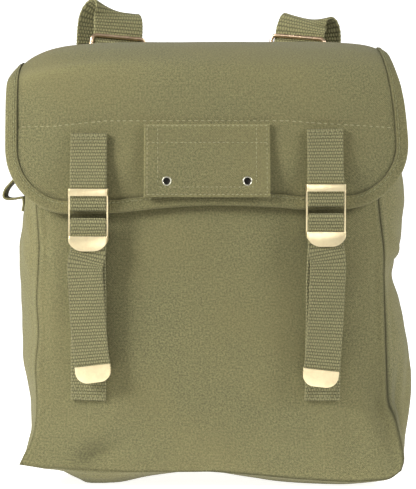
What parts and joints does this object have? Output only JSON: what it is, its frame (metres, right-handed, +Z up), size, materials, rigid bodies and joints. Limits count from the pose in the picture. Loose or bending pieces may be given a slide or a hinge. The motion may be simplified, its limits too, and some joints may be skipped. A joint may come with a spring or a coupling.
{
  "type": "haversack",
  "caption": "Olive canvas haversack with a bound flap, webbing straps closed by brass buckles, an equipment tab with eyelets and shoulder straps with wire sliders.",
  "frame": {"origin": "on the floor, under the middle of the whole object's box", "axes": "+Z up, -Y out of the front of the bag, +X to the right of someone who looks at the front"},
  "size_m": [0.2878, 0.1599, 0.3434],
  "materials": {
    "canvas": "plain woven cotton canvas, matt",
    "tape": "folded cotton tape, matt",
    "webbing": "ribbed cotton webbing, matt",
    "brass": "polished brass with light wear",
    "wire": "coppery brass wire",
    "eyelet_metal": "nickel-like silvery metal"
  },
  "bodies": {
    "root": {"front_panel": "canvas", "gusset": "canvas", "back_panel": "canvas", "flap": "canvas", "flap_binding": "tape", "equipment_tab": "canvas", "eyelet_left": "eyelet_metal", "eyelet_right": "eyelet_metal", "buckle_tab_left": "webbing", "buckle_tab_right": "webbing", "buckle_left": "brass", "buckle_right": "brass", "closing_strap_left": "webbing", "closing_strap_right": "webbing", "strap_tip_left": "brass", "strap_tip_right": "brass", "shoulder_strap_left": "webbing", "shoulder_strap_right": "webbing", "slider_left": "wire", "slider_right": "wire", "side_loop": "canvas"}
  },
  "joints": []
}
